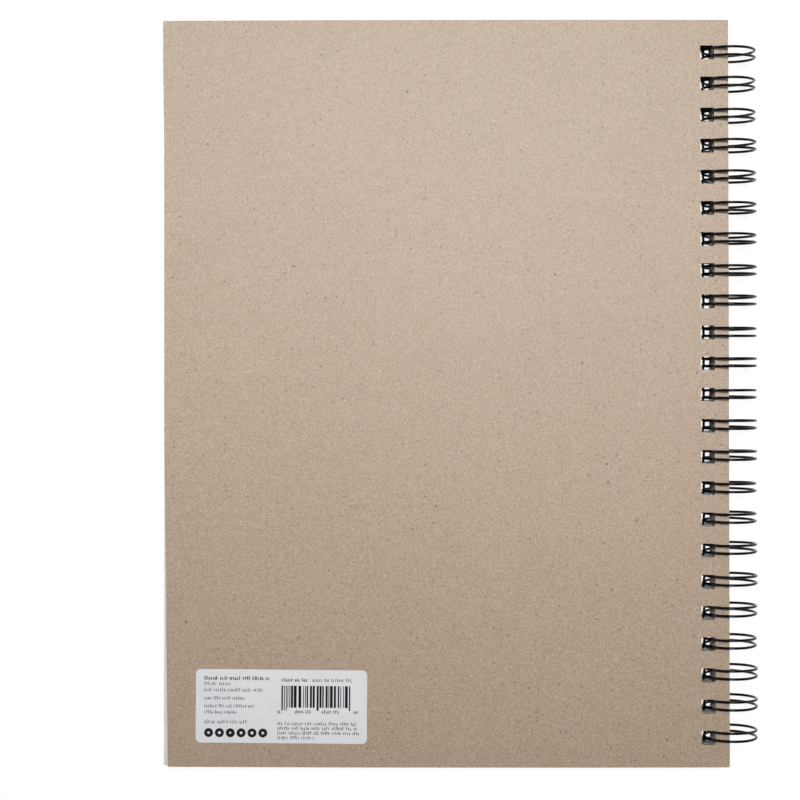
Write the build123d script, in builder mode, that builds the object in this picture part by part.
"""A wire-bound sketchbook lying face down: front cover, fifty sheets, back cover, twin-loop wire, label.

X runs from the fore edge to the wire, Y from the tail to the head, Z up from the table.
The origin is the middle of the footprint, at table height. Millimetres throughout.
"""

import os

from build123d import *

# boards and paper
COVER_WIDTH = 230.6
COVER_HEIGHT = 304.8
FRONT_THICKNESS = 1.4
BACK_THICKNESS = 1.6
COVER_CORNER = 0.6
SHEET_WIDTH = 230.4
SHEET_HEIGHT = 304.4
SHEET_THICKNESS = 0.19
SHEET_PITCH = 0.213
SHEET_CORNER = 0.3
SHEETS_BELOW_SEAM = 29
SHEETS_ABOVE_SEAM = 21
SHEET_SHIFT = 0.12

# square punching along the spine edge; the row sits a little nearer the tail
HOLE_COUNT = 23
HOLE_PITCH = 12.7
HOLE_SIDE = 5.7
HOLE_INSET = 8.6
HOLE_DROP = 0.6

# twin-loop wire
WIRE_DIAMETER = 1.0
RING_RADIUS = 10.7
RING_OUTSIDE_SPINE = 1.15
LEG_SPACING = 3.2
SEAM_GAP = 1.1
TIP_ANGLE = 18.0
END_STUB = 2.0

# label on the outside of the back cover
LABEL_WIDTH = 70.0
LABEL_HEIGHT = 30.0
LABEL_THICKNESS = 0.1
LABEL_CORNER = 2.0
LABEL_FROM_FORE_EDGE = 47.8
LABEL_FROM_TAIL = 24.7

# positions that follow from the sizes above
RING_OUTER = RING_RADIUS + WIRE_DIAMETER / 2
FORE_X = -(COVER_WIDTH + RING_OUTSIDE_SPINE + RING_OUTER) / 2
SPINE_X = FORE_X + COVER_WIDTH
RING_X = SPINE_X + RING_OUTSIDE_SPINE
RING_Z = RING_OUTER
HOLE_X = SPINE_X - HOLE_INSET
LOWER_STACK = SHEETS_BELOW_SEAM * SHEET_PITCH
UPPER_STACK = SHEETS_ABOVE_SEAM * SHEET_PITCH
BLOCK = FRONT_THICKNESS + LOWER_STACK + SEAM_GAP + UPPER_STACK + BACK_THICKNESS
FRONT_Z = RING_Z - BLOCK / 2
FIRST_SHEET_Z = FRONT_Z + FRONT_THICKNESS
SEAM_Z = FIRST_SHEET_Z + LOWER_STACK + SEAM_GAP / 2
BACK_Z = FRONT_Z + BLOCK - BACK_THICKNESS
ROOT_BEND = SEAM_Z - RING_Z


def sheet_z(index):
    """Underside of a sheet, counted from the front cover."""
    gap = SEAM_GAP if index >= SHEETS_BELOW_SEAM else 0.0
    return FIRST_SHEET_Z + gap + index * SHEET_PITCH + (SHEET_PITCH - SHEET_THICKNESS) / 2


def punched_leaf(width, height, corner, thickness, base_z, shift=0.0):
    """A board or sheet with its spine edge at SPINE_X and a row of square holes beside it."""
    with BuildPart() as leaf:
        with BuildSketch(Plane.XY.offset(base_z)):
            with Locations((SPINE_X - width / 2 + shift, 0)):
                RectangleRounded(width, height, corner)
            with Locations((HOLE_X + shift, -HOLE_DROP)):
                with GridLocations(HOLE_PITCH, HOLE_PITCH, 1, HOLE_COUNT):
                    Rectangle(HOLE_SIDE, HOLE_SIDE, mode=Mode.SUBTRACT)
        extrude(amount=thickness)
    return leaf


def ring_point(angle, y):
    """A point on the ring's centreline; 180 degrees is the side that lies inside the pages."""
    direction = Vector(1, 0, 0).rotate(Axis.Y, -angle)
    return Vector(RING_X, y, RING_Z) + direction * RING_RADIUS


def finger(y):
    """Centreline of one hairpin: up from the root, once round the ring, a U-turn, and back."""
    near = y - LEG_SPACING / 2
    far = y + LEG_SPACING / 2
    tip_angle = 180 - TIP_ANGLE
    root_x = RING_X - RING_RADIUS
    tip_along = Vector(1, 0, 0).rotate(Axis.Y, -tip_angle - 90)
    apex = ring_point(tip_angle, y) + tip_along * (LEG_SPACING / 2)
    ThreePointArc(
        (root_x, near - ROOT_BEND, SEAM_Z),
        Vector(root_x, near - ROOT_BEND, RING_Z) + Vector(0, 1, 1).normalized() * ROOT_BEND,
        (root_x, near, RING_Z),
    )
    ThreePointArc(ring_point(180, near), ring_point(-TIP_ANGLE / 2, near), ring_point(tip_angle, near))
    ThreePointArc(ring_point(tip_angle, near), apex, ring_point(tip_angle, far))
    ThreePointArc(ring_point(tip_angle, far), ring_point(-TIP_ANGLE / 2, far), ring_point(180, far))
    ThreePointArc(
        (root_x, far, RING_Z),
        Vector(root_x, far + ROOT_BEND, RING_Z) + Vector(0, -1, 1).normalized() * ROOT_BEND,
        (root_x, far + ROOT_BEND, SEAM_Z),
    )


# wire: one length bent into a hairpin per hole, joined by straight roots that lie in the seam
root_half = LEG_SPACING / 2 + ROOT_BEND
row = [(i - (HOLE_COUNT - 1) / 2) * HOLE_PITCH - HOLE_DROP for i in range(HOLE_COUNT)]
with BuildPart() as binding_wire:
    with BuildLine() as centreline:
        root_x = RING_X - RING_RADIUS
        start = row[0] - root_half - END_STUB
        Line((root_x, start, SEAM_Z), (root_x, row[0] - root_half, SEAM_Z))
        for y in row:
            finger(y)
            reach = END_STUB if y == row[-1] else HOLE_PITCH - 2 * root_half
            Line((root_x, y + root_half, SEAM_Z), (root_x, y + root_half + reach, SEAM_Z))
    with BuildSketch(Plane((root_x, start, SEAM_Z), x_dir=(1, 0, 0), z_dir=(0, 1, 0))):
        Circle(WIRE_DIAMETER / 2)
    sweep(path=centreline.wire())

with BuildPart() as back_label:
    with BuildSketch(Plane.XY.offset(BACK_Z + BACK_THICKNESS)):
        with Locations((FORE_X + LABEL_FROM_FORE_EDGE, LABEL_FROM_TAIL - COVER_HEIGHT / 2)):
            RectangleRounded(LABEL_WIDTH, LABEL_HEIGHT, LABEL_CORNER)
    extrude(amount=LABEL_THICKNESS)

front_cover = punched_leaf(COVER_WIDTH, COVER_HEIGHT, COVER_CORNER, FRONT_THICKNESS, FRONT_Z)
back_cover = punched_leaf(COVER_WIDTH, COVER_HEIGHT, COVER_CORNER, BACK_THICKNESS, BACK_Z)

pieces = {
    "front_cover": front_cover,
    "back_cover": back_cover,
    "binding_wire": binding_wire,
    "back_label": back_label,
}
for index in range(SHEETS_BELOW_SEAM + SHEETS_ABOVE_SEAM):
    # hand-collated paper: neighbouring sheets sit a fraction of a millimetre apart
    shift = SHEET_SHIFT * (index * 7 % 5 - 2) / 2
    pieces[f"sheet_{index + 1:02d}"] = punched_leaf(
        SHEET_WIDTH, SHEET_HEIGHT, SHEET_CORNER, SHEET_THICKNESS, sheet_z(index), shift
    )

os.makedirs("parts", exist_ok=True)
for label, piece in pieces.items():
    piece.part.label = label
    export_step(piece.part, f"parts/{label}.step")
